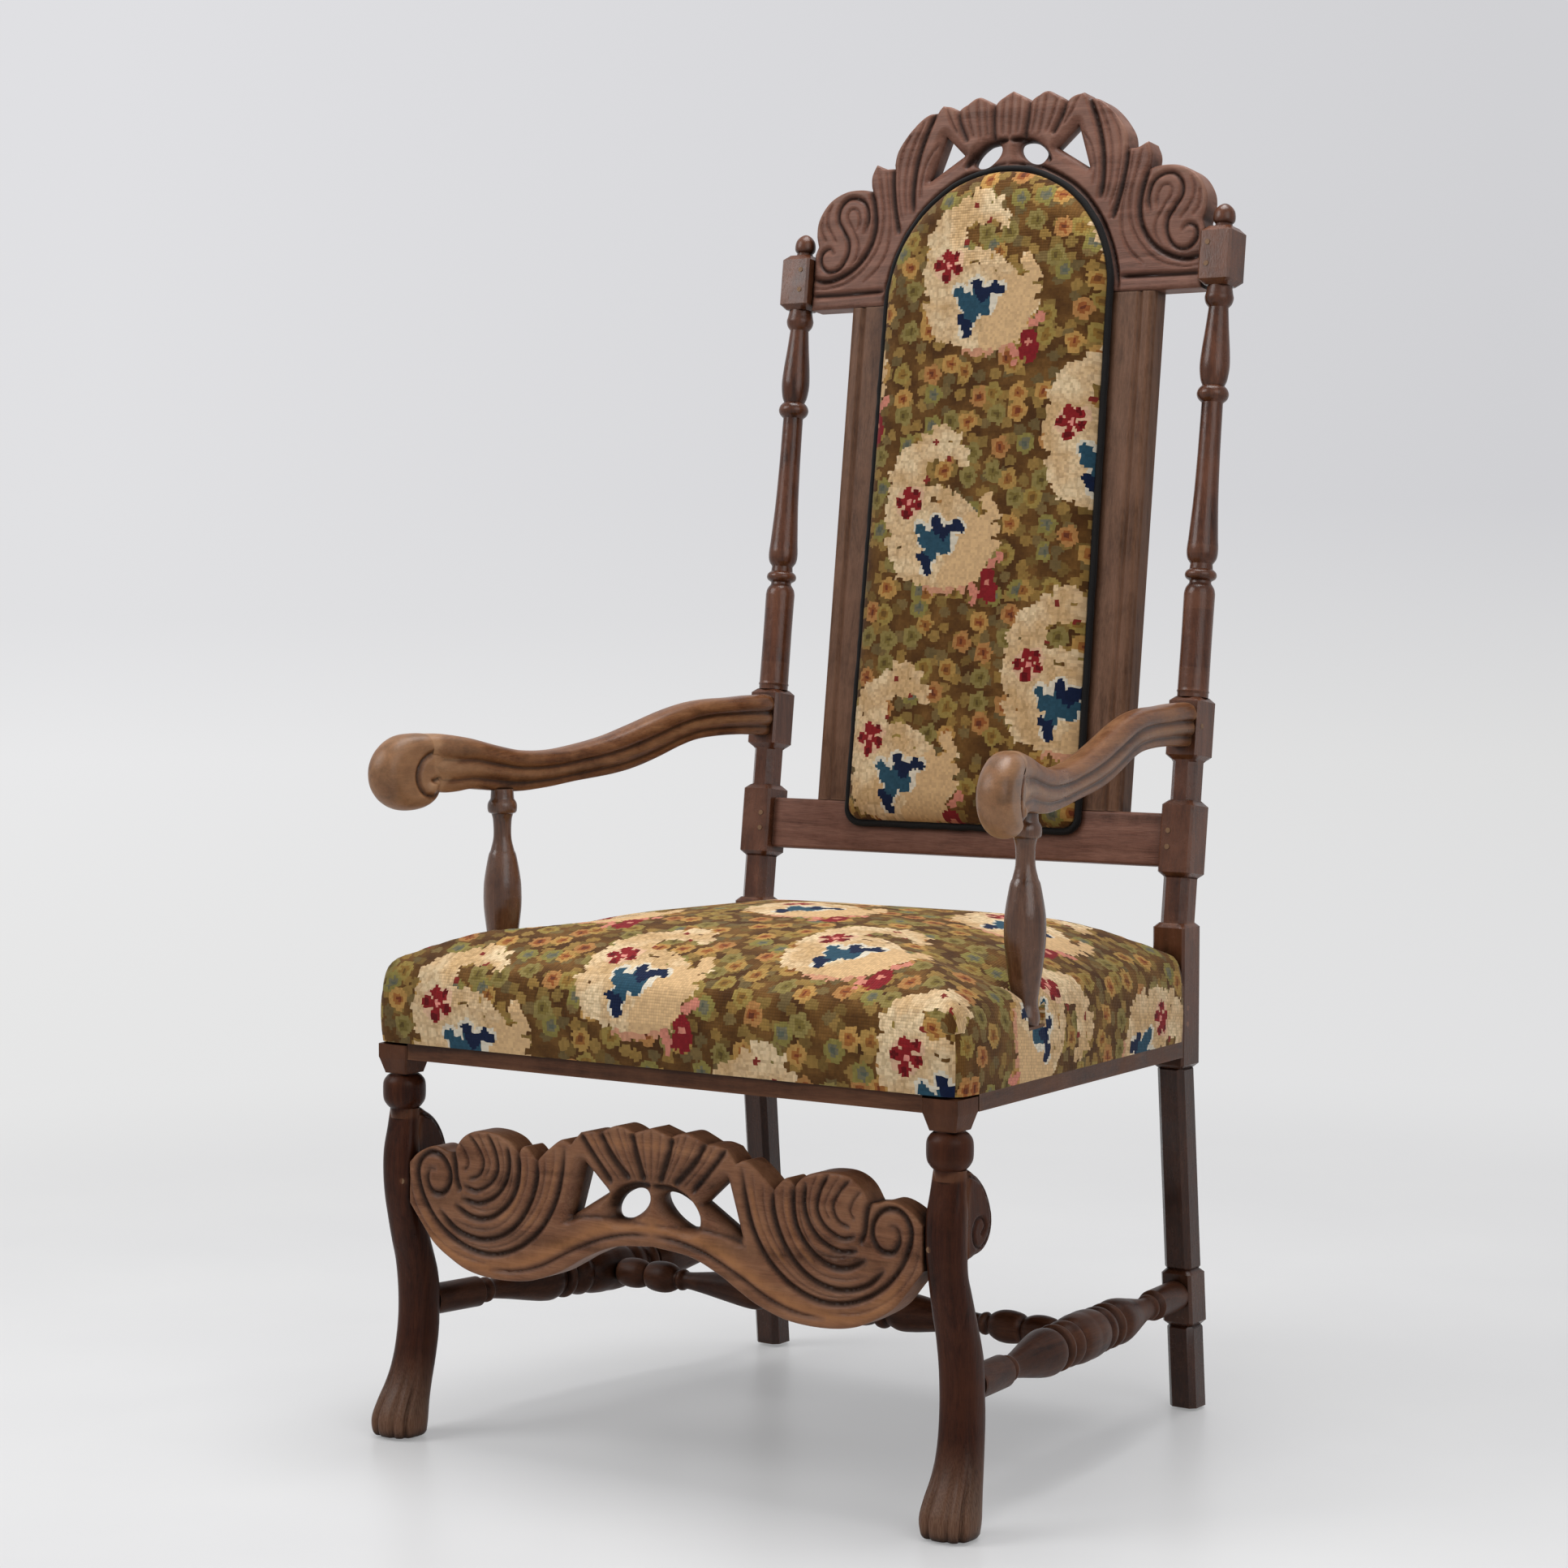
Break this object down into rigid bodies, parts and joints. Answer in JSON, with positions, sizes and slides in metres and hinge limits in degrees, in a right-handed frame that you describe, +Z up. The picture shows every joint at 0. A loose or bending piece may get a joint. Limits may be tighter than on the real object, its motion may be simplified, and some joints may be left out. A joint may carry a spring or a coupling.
{
  "type": "carved high-back armchair",
  "caption": "High-back open armchair with carved pierced crest and front stretcher, turned posts, scroll legs, down-swept scrolled arms, floral needlepoint stuffed seat and arched back panel",
  "frame": {"origin": "centre of the bounding box's bottom face, on the floor", "axes": "+Z up, -Y is the direction the chair faces, +X to the viewer's right from the front"},
  "size_m": [0.6832, 0.619, 1.2509],
  "materials": {
    "stained_walnut": "dark stained and waxed, semi-gloss, worn at the edges",
    "glue_block_pine": "plain sawn softwood, uncoloured",
    "oak_peg": "riven pegs, stained with the frame",
    "needlepoint_wool": "wool gros point on canvas, matt",
    "black_piping": "black worsted cord, matt",
    "linen_webbing": "jute and linen, unbleached",
    "curled_hair": "curled horsehair stuffing",
    "back_linen": "plain brown linen",
    "black_bottom_cloth": "thin black cotton"
  },
  "bodies": {
    "root": {"arm_left": "stained_walnut", "arm_pegs": "oak_peg", "arm_right": "stained_walnut", "arm_support_left": "stained_walnut", "arm_support_right": "stained_walnut", "back_canvas": "linen_webbing", "back_cover": "needlepoint_wool", "back_frame_pegs": "oak_peg", "back_outside_cover": "back_linen", "back_stile_left": "stained_walnut", "back_stile_right": "stained_walnut", "back_stuffing": "curled_hair", "back_webbing": "linen_webbing", "back_welt": "black_piping", "corner_block_front_left": "glue_block_pine", "corner_block_front_right": "glue_block_pine", "corner_block_rear_left": "glue_block_pine", "corner_block_rear_right": "glue_block_pine", "crest_rail": "stained_walnut", "front_leg_left": "stained_walnut", "front_leg_right": "stained_walnut", "front_seat_rail": "stained_walnut", "front_stretcher": "stained_walnut", "lower_back_rail": "stained_walnut", "medial_stretcher": "stained_walnut", "rear_post_left": "stained_walnut", "rear_post_right": "stained_walnut", "rear_seat_rail": "stained_walnut", "seat_bottom_cloth": "black_bottom_cloth", "seat_cover": "needlepoint_wool", "seat_frame_pegs": "oak_peg", "seat_hessian": "linen_webbing", "seat_stuffing": "curled_hair", "seat_webbing": "linen_webbing", "side_seat_rail_left": "stained_walnut", "side_seat_rail_right": "stained_walnut", "side_stretcher_left": "stained_walnut", "side_stretcher_right": "stained_walnut", "stretcher_pegs": "oak_peg"}
  },
  "joints": []
}
